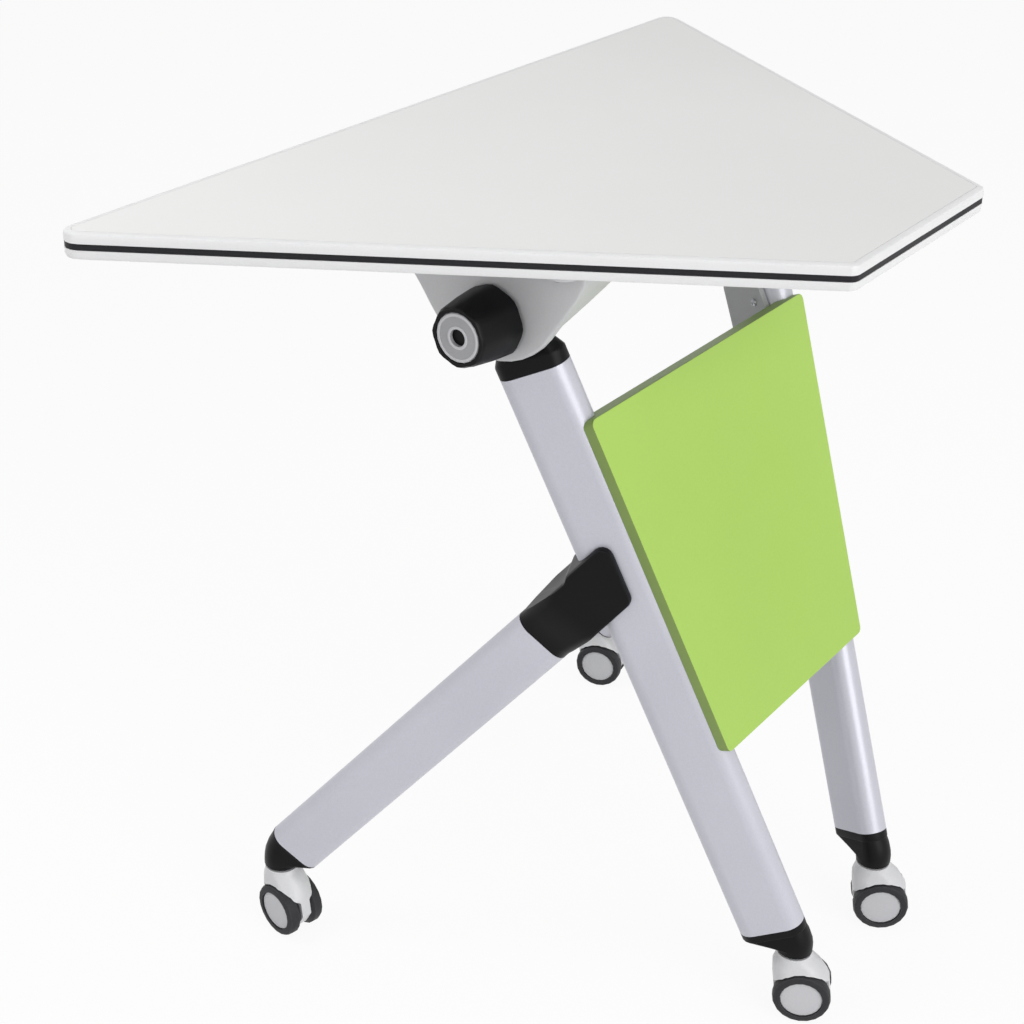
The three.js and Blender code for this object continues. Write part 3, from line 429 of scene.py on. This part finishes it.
FINISHES: dict[Slot, Finish] = {
    Slot.LAMINATE: Finish(
        Slot.LAMINATE,
        dark=srgb(227, 227, 226),
        light=srgb(232, 232, 231),
        rough=(0.42, 0.5),
        broad_scale=3.0,
        fine_scale=900.0,
        grain_scale=700.0,
        grain_strength=0.25,
        smudge_scale=5.0,
    ),
    Slot.EDGE: Finish(
        Slot.EDGE,
        dark=srgb(222, 222, 223),
        light=srgb(228, 228, 229),
        rough=(0.36, 0.45),
        grain_depth=0.01 * MM,
    ),
    Slot.STRIPE: Finish(
        Slot.STRIPE,
        dark=srgb(26, 26, 29),
        light=srgb(36, 36, 39),
        rough=(0.45, 0.6),
        fine_share=0.6,
        specular=0.2,
    ),
    Slot.SILVER: FlakeFinish(
        Slot.SILVER,
        dark=srgb(190, 190, 200),
        light=srgb(199, 199, 209),
        rough=(0.36, 0.44),
        metallic=0.25,
        grain_scale=900.0,
        grain_depth=0.01 * MM,
        grain_strength=0.2,
        wear_colour=srgb(226, 226, 232),
        wear_amount=0.35,
        coat=0.15,
    ),
    Slot.DIE_CAST: Finish(
        Slot.DIE_CAST,
        dark=srgb(196, 196, 198),
        light=srgb(204, 204, 206),
        rough=(0.44, 0.54),
        metallic=0.2,
        grain_scale=520.0,
        grain_depth=0.05 * MM,
        wear_colour=srgb(222, 222, 224),
    ),
    Slot.BLACK: Finish(
        Slot.BLACK,
        dark=srgb(6, 6, 8),
        light=srgb(12, 12, 14),
        rough=(0.34, 0.48),
        grain_scale=1100.0,
        grain_depth=0.03 * MM,
        grain_strength=0.35,
        wear_colour=srgb(54, 54, 59),
        wear_amount=0.45,
        specular=0.15,
    ),
    Slot.GREY: Finish(
        Slot.GREY,
        dark=srgb(191, 191, 195),
        light=srgb(201, 201, 204),
        rough=(0.42, 0.55),
        wear_colour=srgb(212, 212, 214),
        wear_amount=0.4,
    ),
    Slot.MID_GREY: Finish(
        Slot.MID_GREY,
        dark=srgb(158, 158, 161),
        light=srgb(170, 170, 173),
        rough=(0.4, 0.52),
        wear_colour=srgb(186, 186, 188),
        wear_amount=0.5,
        specular=0.35,
    ),
    Slot.HOOD: Finish(
        Slot.HOOD,
        dark=srgb(204, 204, 207),
        light=srgb(213, 213, 215),
        rough=(0.3, 0.42),
        grain_depth=0.012 * MM,
        wear_colour=srgb(230, 230, 232),
        wear_amount=0.3,
    ),
    Slot.TYRE: Finish(
        Slot.TYRE,
        dark=srgb(34, 34, 37),
        light=srgb(47, 47, 50),
        rough=(0.5, 0.72),
        grain_scale=800.0,
        grain_depth=0.05 * MM,
        grain_strength=0.4,
        wear_colour=srgb(82, 82, 85),
        wear_radius=2 * MM,
        specular=0.3,
    ),
    Slot.GREEN: BoardFinish(
        Slot.GREEN,
        dark=srgb(164, 200, 89),
        light=srgb(171, 207, 94),
        rough=(0.44, 0.54),
        broad_scale=4.0,
        grain_scale=650.0,
        grain_depth=0.025 * MM,
        grain_strength=0.25,
        edge_dark=srgb(118, 142, 72),
        edge_light=srgb(130, 154, 80),
    ),
    Slot.STEEL: BrushedFinish(
        Slot.STEEL,
        dark=srgb(168, 170, 175),
        light=srgb(190, 192, 196),
        rough=(0.28, 0.4),
        metallic=1.0,
        grain_scale=60.0,
        grain_depth=0.01 * MM,
    ),
}


class Materials:
    """All materials of the table, by slot."""

    def __init__(self, panel_normal: Vector) -> None:
        """Builds every finish.

        Args:
            panel_normal: outward direction of the modesty panel's face.
        """
        effects = SharedEffects()
        self.by_slot: dict[Slot, bpy.types.Material] = {}
        for slot, finish in FINISHES.items():
            if isinstance(finish, BoardFinish):
                finish = BoardFinish(**{**finish.__dict__, "face": tuple(panel_normal)})
            self.by_slot[slot] = finish.build(effects)

    def __getitem__(self, slot: Slot) -> bpy.types.Material:
        """The material of a slot."""
        return self.by_slot[slot]


@dataclass(frozen=True)
class FlatFace:
    """A flat face of a solid: its middle, its outward direction and its area."""

    middle: Vector
    normal: Vector
    area: float

    @classmethod
    def of(cls, node: str, towards: Vector) -> "FlatFace":
        """Finds the largest flat face of a node that looks one way.

        Args:
            node: name of the solid.
            towards: direction that the face looks in, roughly.

        Returns:
            The face.
        """
        step = 0.1 * MM
        found: dict[tuple[int, ...], list[tuple[Vector, Vector, float]]] = {}
        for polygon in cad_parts[node].data.polygons:
            if polygon.normal.dot(towards) < 0.6:
                continue
            key = tuple(round(part * 100) for part in polygon.normal)
            key += (round(polygon.normal.dot(polygon.center) / step),)
            face = (polygon.center.copy(), polygon.normal.copy(), polygon.area)
            found.setdefault(key, []).append(face)
        best = max(found.values(), key=lambda faces: sum(area for _, _, area in faces))
        area = sum(size for _, _, size in best)
        middle = sum((centre * size for centre, _, size in best), Vector()) / area
        return cls(middle, best[0][1], area)

    def seat(self, up: float, ahead: float = 0.0) -> Seat:
        """A place on the face.

        Args:
            up: distance above the middle of the face.
            ahead: distance from the middle towards the panel side.

        Returns:
            The place and the direction that a screw there looks in.
        """
        upright = Vector((0, 0, 1))
        along = (upright - self.normal * self.normal.dot(upright)).normalized()
        across = along.cross(self.normal)
        forwards = across if across.y > 0 else -across
        return (self.middle + along * up + forwards * ahead, self.normal)

    def pair(self, apart: float) -> list[Seat]:
        """Two places on the face, one above the other."""
        return [self.seat(-apart / 2), self.seat(apart / 2)]


class SmoothTree:
    """Geometry nodes that weld a solid's triangles and shade its round faces smooth."""

    FLAT_WEIGHT = 90

    def __init__(self) -> None:
        """Builds the tree."""
        tree = bpy.data.node_groups.new("smooth_round_faces", "GeometryNodeTree")
        sockets = tree.interface
        sockets.new_socket(name="Geometry", in_out="INPUT", socket_type="NodeSocketGeometry")
        self.weld = sockets.new_socket(name="Weld", in_out="INPUT", socket_type="NodeSocketFloat")
        self.angle = sockets.new_socket(name="Angle", in_out="INPUT", socket_type="NodeSocketFloat")
        sockets.new_socket(name="Geometry", in_out="OUTPUT", socket_type="NodeSocketGeometry")
        w = Wiring(tree)
        given = w.add("NodeGroupInput")
        welded = w.add(
            "GeometryNodeMergeByDistance",
            {"Geometry": given.outputs["Geometry"], "Distance": given.outputs["Weld"]},
        )
        smooth = w.add(
            "GeometryNodeSetShadeSmooth", {"Geometry": welded.outputs[0], "Shade Smooth": True}
        )
        bend = w.add("GeometryNodeInputMeshEdgeAngle").outputs["Unsigned Angle"]
        sharp = w.add(
            "FunctionNodeCompare",
            {"A": bend, "B": given.outputs["Angle"]},
            data_type="FLOAT",
            operation="GREATER_THAN",
        ).outputs["Result"]
        split = w.add(
            "GeometryNodeSetShadeSmooth",
            {"Geometry": smooth.outputs[0], "Selection": sharp, "Shade Smooth": False},
            domain="EDGE",
        )
        result = w.add("NodeGroupOutput")
        tree.links.new(split.outputs[0], result.inputs["Geometry"])
        self.tree = tree

    def put_on(self, piece: bpy.types.Object) -> None:
        """Adds the tree to a solid as a modifier, with the shading led by the large flat faces."""
        modifier = piece.modifiers.new("smooth_round_faces", "NODES")
        modifier.node_group = self.tree
        modifier[self.weld.identifier] = WELD
        modifier[self.angle.identifier] = SMOOTH_ANGLE
        level = piece.modifiers.new("keep_flat_faces_flat", "WEIGHTED_NORMAL")
        level.mode = "FACE_AREA"
        level.weight = self.FLAT_WEIGHT
        level.keep_sharp = True


@dataclass(frozen=True)
class ScrewSize:
    """Sizes of one kind of cross-head screw."""

    head_radius: float
    head_height: float
    recess_width: float
    recess_depth: float


class ScrewTree:
    """Geometry nodes that set a cross-head screw on every point, along the point's direction."""

    ROUND_STEPS = 20
    CROWN_STEPS = 5
    CROWN = 0.6
    RECESS_REACH = 1.2
    DIRECTION = "direction"

    def __init__(self) -> None:
        """Builds the tree."""
        tree = bpy.data.node_groups.new("cross_head_screws", "GeometryNodeTree")
        sockets = tree.interface
        sockets.new_socket(name="Geometry", in_out="INPUT", socket_type="NodeSocketGeometry")
        labels = ("Head Radius", "Head Height", "Recess Width", "Recess Depth")
        self.sizes = [
            sockets.new_socket(name=label, in_out="INPUT", socket_type="NodeSocketFloat") for label in labels
        ]
        self.material = sockets.new_socket(
            name="Material", in_out="INPUT", socket_type="NodeSocketMaterial"
        )
        sockets.new_socket(name="Geometry", in_out="OUTPUT", socket_type="NodeSocketGeometry")
        w = Wiring(tree)
        given = w.add("NodeGroupInput").outputs
        head = self._head(w, given)
        facing = w.add(
            "GeometryNodeInputNamedAttribute", {"Name": self.DIRECTION}, data_type="FLOAT_VECTOR"
        ).outputs["Attribute"]
        turn = w.add("FunctionNodeAlignRotationToVector", {"Vector": facing}, axis="Z").outputs[0]
        placed = w.add(
            "GeometryNodeInstanceOnPoints",
            {"Points": given["Geometry"], "Instance": head, "Rotation": turn},
        ).outputs[0]
        solid = w.add("GeometryNodeRealizeInstances", {"Geometry": placed}).outputs[0]
        finished = w.add(
            "GeometryNodeSetMaterial", {"Geometry": solid, "Material": given["Material"]}
        ).outputs[0]
        w.add("NodeGroupOutput", {"Geometry": finished})
        self.tree = tree

    def _head(self, w: Wiring, given: Any) -> Socket:
        """One crowned head with a cross recess, standing on z = 0.

        Args:
            w: wiring of the tree.
            given: output sockets of the tree's input node.

        Returns:
            The socket that gives the head.
        """
        radius, height = given["Head Radius"], given["Head Height"]
        blank = w.add(
            "GeometryNodeMeshCylinder",
            {
                "Vertices": self.ROUND_STEPS,
                "Side Segments": self.CROWN_STEPS,
                "Radius": radius,
                "Depth": height,
            },
        ).outputs["Mesh"]
        place = w.add(
            "ShaderNodeSeparateXYZ", {0: w.add("GeometryNodeInputPosition").outputs[0]}
        ).outputs
        up = w.math("ADD", place["Z"], w.math("MULTIPLY", height, 0.5))
        share = w.math("DIVIDE", up, height)
        drop = w.math("MULTIPLY", w.math("MULTIPLY", share, share), self.CROWN)
        pull = w.math("SQRT", w.math("SUBTRACT", 1.0, drop))
        x = w.math("MULTIPLY", place["X"], pull)
        y = w.math("MULTIPLY", place["Y"], pull)
        crowned = w.add("ShaderNodeCombineXYZ", {0: x, 1: y, 2: up}).outputs[0]
        head = w.add("GeometryNodeSetPosition", {"Geometry": blank, "Position": crowned}).outputs[0]
        reach = w.math("MULTIPLY", radius, self.RECESS_REACH)
        deep = w.math("MULTIPLY", given["Recess Depth"], 2.0)
        lift = w.add("ShaderNodeCombineXYZ", {2: height}).outputs[0]
        for across, along in ((reach, given["Recess Width"]), (given["Recess Width"], reach)):
            size = w.add("ShaderNodeCombineXYZ", {0: across, 1: along, 2: deep}).outputs[0]
            bar = w.add("GeometryNodeMeshCube", {"Size": size}).outputs["Mesh"]
            raised = w.add("GeometryNodeTransform", {"Geometry": bar, "Translation": lift}).outputs[0]
            head = w.add(
                "GeometryNodeMeshBoolean", {"Mesh 1": head, "Mesh 2": raised}, operation="DIFFERENCE"
            ).outputs[0]
        return head

    def make(
        self, name: str, seats: list[Seat], size: ScrewSize, material: bpy.types.Material
    ) -> bpy.types.Object:
        """Makes the screws of one body as one plain mesh.

        Args:
            name: name of the new piece.
            seats: place and direction of each head.
            size: sizes of the screws.
            material: their finish.

        Returns:
            The finished piece, at the origin.
        """
        points = bpy.data.meshes.new(f"{name}_seats")
        points.from_pydata([tuple(place) for place, _ in seats], [], [])
        facing = points.attributes.new(self.DIRECTION, "FLOAT_VECTOR", "POINT")
        facing.data.foreach_set("vector", [part for _, normal in seats for part in normal])
        piece = bpy.data.objects.new(name, points)
        bpy.context.scene.collection.objects.link(piece)
        modifier = piece.modifiers.new(self.tree.name, "NODES")
        modifier.node_group = self.tree
        values = (size.head_radius, size.head_height, size.recess_width, size.recess_depth)
        for socket, value in zip(self.sizes, values):
            modifier[socket.identifier] = value
        modifier[self.material.identifier] = material
        evaluated = piece.evaluated_get(bpy.context.evaluated_depsgraph_get())
        mesh = bpy.data.meshes.new_from_object(evaluated)
        piece.modifiers.remove(modifier)
        piece.data = mesh
        smooth_by_angle(mesh)
        return piece


def smooth_by_angle(mesh: bpy.types.Mesh) -> None:
    """Shades a mesh smooth, with its sharp edges kept."""
    mesh.polygons.foreach_set("use_smooth", [True] * len(mesh.polygons))
    mesh.set_sharp_from_angle(angle=SMOOTH_ANGLE)
    mesh.update()


def add_piece(piece: bpy.types.Object, body: str) -> None:
    """Hangs a new piece on its body."""
    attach(piece, body)
    LOG.info("made %s on %s", piece.name, body)


class Dresser:
    """Puts finishes on the solids of the frame."""

    def __init__(self, materials: Materials) -> None:
        """Keeps the materials and the smoothing tree."""
        self.materials = materials
        self.smooth = SmoothTree()
        self.screws = ScrewTree()

    def dress(self, node: str, slot: Slot) -> None:
        """Gives one solid its material and smooth shading.

        Args:
            node: name of the solid.
            slot: material slot of its finish.
        """
        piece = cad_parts[node]
        piece.data.materials.clear()
        piece.data.materials.append(self.materials[slot])
        self.smooth.put_on(piece)
        LOG.info("dressed %s in %s", node, slot.value)


@dataclass
class TopAssembly:
    """White top with its edge, and the brackets that flip with it."""

    body: str = "top"
    flange_wall: float = 5 * MM
    screw_from_side: float = 7 * MM
    screw_from_end: float = 20 * MM
    screw: ScrewSize = ScrewSize(4.3 * MM, 2.6 * MM, 1.1 * MM, 1.4 * MM)

    def build(self, dresser: Dresser) -> None:
        """Makes the screws that hold the bracket flanges to the board."""
        seats: list[Seat] = []
        for side in Side:
            low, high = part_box(f"flip_bracket_{side.value}")
            ends = (low.y + self.screw_from_end, (low.y + high.y) / 2, high.y - self.screw_from_end)
            for row in (low.x + self.screw_from_side, high.x - self.screw_from_side):
                for end in ends:
                    place = Vector((row, end, high.z - self.flange_wall))
                    seats.append((place, Vector((0, 0, -1))))
        steel = dresser.materials[Slot.STEEL]
        piece = dresser.screws.make("flange_screws", seats, self.screw, steel)
        add_piece(piece, self.body)

    def dress(self, dresser: Dresser) -> None:
        """Puts the finishes on the top and its brackets."""
        dresser.dress("table_top", Slot.LAMINATE)
        dresser.dress("edge_band", Slot.EDGE)
        dresser.dress("edge_stripe", Slot.STRIPE)
        for side in Side:
            dresser.dress(f"flip_bracket_{side.value}", Slot.DIE_CAST)
            dresser.dress(f"stop_pin_{side.value}", Slot.STEEL)


@dataclass
class LegFrame:
    """One A-shaped leg frame with its head, elbow, feet and panel saddles."""

    side: Side
    body: str = "frame"
    screws_apart: float = 24 * MM
    hanger_screw_up: float = 17 * MM
    hanger_screw_ahead: float = 8.6 * MM
    screw: ScrewSize = ScrewSize(3.6 * MM, 2.4 * MM, 1.0 * MM, 1.3 * MM)

    def build(self, dresser: Dresser) -> None:
        """Makes the screws of the panel saddles, of their hanger plate and of the elbow's inner cheek."""
        name = self.side.value
        inwards = Vector((-1 if self.side is Side.RIGHT else 1, 0, 0))
        seats = FlatFace.of(f"elbow_joint_{name}", inwards).pair(self.screws_apart)
        hanger = FlatFace.of(f"upper_saddle_{name}", inwards)
        seats.append(hanger.seat(self.hanger_screw_up, self.hanger_screw_ahead))
        for saddle in ("upper_saddle", "lower_saddle"):
            seats += FlatFace.of(f"{saddle}_{name}", Vector((0, -1, 0))).pair(self.screws_apart)
        steel = dresser.materials[Slot.STEEL]
        piece = dresser.screws.make(f"frame_screws_{name}", seats, self.screw, steel)
        add_piece(piece, self.body)

    def dress(self, dresser: Dresser) -> None:
        """Puts the finishes on the leg frame."""
        for name in ("main_leg", "brace_leg"):
            dresser.dress(f"{name}_{self.side.value}", Slot.SILVER)
        head_and_feet = ("leg_head", "elbow_joint", "main_foot_cap", "brace_foot_cap")
        for name in (*head_and_feet, "lower_saddle"):
            dresser.dress(f"{name}_{self.side.value}", Slot.BLACK)
        dresser.dress(f"upper_saddle_{self.side.value}", Slot.MID_GREY)
        dresser.dress(f"pivot_bolt_{self.side.value}", Slot.STEEL)


@dataclass
class ClampKnob:
    """Black knob with a grey end disc that has two raised, paler beads."""

    side: Side
    round_steps: int = 64
    bead_width: float = 2.2 * MM
    bead_height: float = 0.5 * MM
    bead_seat: float = 0.2 * MM
    hole_radius: float = 7.2 * MM
    rim_inset: float = 1.0 * MM

    def build(self, dresser: Dresser) -> None:
        """Makes the beads round the hole and the rim of the disc."""
        low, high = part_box(f"knob_cap_{self.side.value}")
        outwards = 1 if self.side is Side.RIGHT else -1
        face = high.x if outwards > 0 else low.x
        centre = Vector((face, (low.y + high.y) / 2, (low.z + high.z) / 2))
        rim = (high.z - low.z) / 2 - self.rim_inset - self.bead_width
        form = bmesh.new()
        for radius in (self.hole_radius, rim):
            self._add_bead(form, centre, outwards, radius)
        bmesh.ops.recalc_face_normals(form, faces=form.faces)
        mesh = bpy.data.meshes.new(f"knob_disc_beads_{self.side.value}")
        form.to_mesh(mesh)
        form.free()
        mesh.materials.append(dresser.materials[Slot.GREY])
        smooth_by_angle(mesh)
        piece = bpy.data.objects.new(mesh.name, mesh)
        bpy.context.scene.collection.objects.link(piece)
        add_piece(piece, f"knob_{self.side.value}")

    def _add_bead(self, form: bmesh.types.BMesh, centre: Vector, outwards: int, radius: float) -> None:
        """Adds one closed ring with a rounded top.

        Args:
            form: mesh that the ring goes into.
            centre: middle of the disc's face.
            outwards: 1 or -1, the way the face looks along X.
            radius: inner radius of the ring.
        """
        profile = [
            (0.0, -self.bead_seat),
            (0.0, self.bead_height * 0.5),
            (self.bead_width * 0.25, self.bead_height * 0.9),
            (self.bead_width * 0.5, self.bead_height),
            (self.bead_width * 0.75, self.bead_height * 0.9),
            (self.bead_width, self.bead_height * 0.5),
            (self.bead_width, -self.bead_seat),
        ]
        rings = []
        for step in range(self.round_steps):
            angle = 2 * math.pi * step / self.round_steps
            spoke = Vector((0, math.cos(angle), math.sin(angle)))
            ring = [
                form.verts.new(centre + spoke * (radius + out) + Vector((outwards * up, 0, 0)))
                for out, up in profile
            ]
            rings.append(ring)
        for ring, following in zip(rings, rings[1:] + rings[:1]):
            for corner in range(len(profile)):
                after = (corner + 1) % len(profile)
                form.faces.new((ring[corner], ring[after], following[after], following[corner]))

    def dress(self, dresser: Dresser) -> None:
        """Puts the finishes on the knob."""
        dresser.dress(f"clamp_knob_{self.side.value}", Slot.BLACK)
        dresser.dress(f"knob_cap_{self.side.value}", Slot.MID_GREY)


@dataclass
class Caster:
    """Twin wheel caster under one foot."""

    place: str

    def dress(self, dresser: Dresser) -> None:
        """Puts the finishes on the caster."""
        dresser.dress(f"caster_hood_{self.place}", Slot.HOOD)
        dresser.dress(f"caster_stem_{self.place}", Slot.STEEL)
        dresser.dress(f"caster_axle_{self.place}", Slot.STEEL)
        for wheel in ("a", "b"):
            dresser.dress(f"caster_tyre_{self.place}_{wheel}", Slot.TYRE)
            dresser.dress(f"caster_hub_{self.place}_{wheel}", Slot.GREY)


@dataclass
class MiddlePieces:
    """Panel and cross tube between the two leg frames."""

    body: str = "frame"

    def dress(self, dresser: Dresser) -> None:
        """Puts the finishes on the panel and the tube."""
        dresser.dress("modesty_panel", Slot.GREEN)
        dresser.dress("cross_tube", Slot.STEEL)


@dataclass
class Studio:
    """Pale floor, soft light and the camera of the photograph."""

    focal_pixels: float = 1882.3154
    image_pixels: float = 1024.0
    sensor_mm: float = 36.0
    camera_from_top: tuple[float, float, float] = (1.303034, 0.788242, 1.223966)
    right: tuple[float, float, float] = (-0.5862879626, 0.8097765675, 0.0229855518)
    down: tuple[float, float, float] = (0.3753502251, 0.2966834973, -0.8781179368)
    forward: tuple[float, float, float] = (-0.7178987627, -0.5062023440, -0.4778917801)
    world_level: float = 0.42
    floor_half: float = 9.0
    floor_glow: float = 0.92
    floor_drop: float = 0.4 * MM

    def place_camera(self) -> None:
        """Sets the camera where the photograph was taken."""
        low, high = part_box("table_top")
        middle = (low + high) / 2
        data = bpy.data.cameras.new("photo_camera")
        data.sensor_width = self.sensor_mm
        data.sensor_fit = "HORIZONTAL"
        data.lens = self.sensor_mm * self.focal_pixels / self.image_pixels
        data.clip_end = 60.0
        camera = bpy.data.objects.new("photo_camera", data)
        bpy.context.scene.collection.objects.link(camera)
        columns = (Vector(self.right), -Vector(self.down), -Vector(self.forward))
        turn = Matrix(columns).transposed().to_4x4()
        x, y, z = self.camera_from_top
        camera.matrix_world = Matrix.Translation((middle.x + x, middle.y + y, z)) @ turn
        bpy.context.scene.camera = camera

    @staticmethod
    def seen_share(w: Wiring) -> Socket:
        """1 for rays that show the background to the camera, straight or in a reflection."""
        path = w.add("ShaderNodeLightPath")
        shown = w.math("MAXIMUM", path.outputs["Is Camera Ray"], path.outputs["Is Glossy Ray"])
        return w.math("MAXIMUM", shown, path.outputs["Is Transmission Ray"])

    def build_world(self) -> None:
        """White background with an even dome of light."""
        world = bpy.data.worlds.new("studio")
        world.use_nodes = True
        world.node_tree.nodes.clear()
        w = Wiring(world.node_tree)
        dome = w.add("ShaderNodeBackground", {"Color": (1, 1, 1, 1), "Strength": self.world_level})
        white = w.add("ShaderNodeBackground", {"Color": (1, 1, 1, 1), "Strength": 1.0})
        both = w.add(
            "ShaderNodeMixShader", {0: self.seen_share(w), 1: dome.outputs[0], 2: white.outputs[0]}
        )
        w.add("ShaderNodeOutputWorld", {"Surface": both.outputs[0]})
        bpy.context.scene.world = world

    def build_floor(self) -> None:
        """Pale floor that keeps a faint shadow."""
        half = self.floor_half
        mesh = bpy.data.meshes.new("floor")
        corners = [(-half, -half, 0), (half, -half, 0), (half, half, 0), (-half, half, 0)]
        mesh.from_pydata([(x, y, -self.floor_drop) for x, y, _ in corners], [], [(0, 1, 2, 3)])
        floor = bpy.data.objects.new("floor", mesh)
        bpy.context.scene.collection.objects.link(floor)
        material = bpy.data.materials.new("floor_white")
        material.use_nodes = True
        material.node_tree.nodes.clear()
        w = Wiring(material.node_tree)
        matt = w.add("ShaderNodeBsdfDiffuse", {"Color": srgb(238, 238, 238)})
        white = w.add("ShaderNodeEmission", {"Color": (1, 1, 1, 1), "Strength": 1.0})
        share = w.math("MULTIPLY", self.seen_share(w), self.floor_glow)
        both = w.add("ShaderNodeMixShader", {0: share, 1: matt.outputs[0], 2: white.outputs[0]})
        w.add("ShaderNodeOutputMaterial", {"Surface": both.outputs[0]})
        mesh.materials.append(material)

    @staticmethod
    def add_softbox(
        name: str, place: tuple[float, float, float], size: tuple[float, float], watts: float
    ) -> None:
        """Hangs a softbox that looks at the middle of the table.

        Args:
            name: the lamp's name.
            place: its middle, in metres.
            size: its width and height, in metres.
            watts: its power.
        """
        data = bpy.data.lights.new(name, "AREA")
        data.shape = "RECTANGLE"
        data.size, data.size_y = size
        data.energy = watts
        lamp = bpy.data.objects.new(name, data)
        bpy.context.scene.collection.objects.link(lamp)
        aim = Vector((0.0, 0.0, 0.45)) - Vector(place)
        turn = aim.to_track_quat("-Z", "Y").to_matrix().to_4x4()
        lamp.matrix_world = Matrix.Translation(place) @ turn

    def build(self) -> None:
        """Sets up the camera, the background and the lamps."""
        self.place_camera()
        self.build_world()
        self.build_floor()
        self.add_softbox("panel_side_softbox", (0.9, 3.2, 1.75), (2.4, 3.0), 77.0)
        self.add_softbox("knob_side_softbox", (3.2, -0.6, 1.7), (2.2, 2.2), 12.0)
        self.add_softbox("top_softbox", (-0.3, 0.2, 3.2), (2.4, 2.4), 10.0)
        self.add_softbox("corner_softbox", (0.9, -0.9, 1.6), (0.6, 0.6), 7.0)
        view = bpy.context.scene.view_settings
        view.view_transform = "Standard"


def main() -> None:
    """Builds the studio and dresses the table."""
    logging.basicConfig(level=logging.INFO, format="%(message)s")
    Studio().build()
    panel_face = FlatFace.of("modesty_panel", Vector((0, 1, 0)))
    dresser = Dresser(Materials(panel_face.normal))
    top = TopAssembly()
    top.dress(dresser)
    top.build(dresser)
    MiddlePieces().dress(dresser)
    for side in Side:
        for assembly in (LegFrame(side), ClampKnob(side)):
            assembly.dress(dresser)
            assembly.build(dresser)
        for foot in ("main", "brace"):
            Caster(f"{foot}_{side.value}").dress(dresser)


if __name__ == "__main__":
    main()
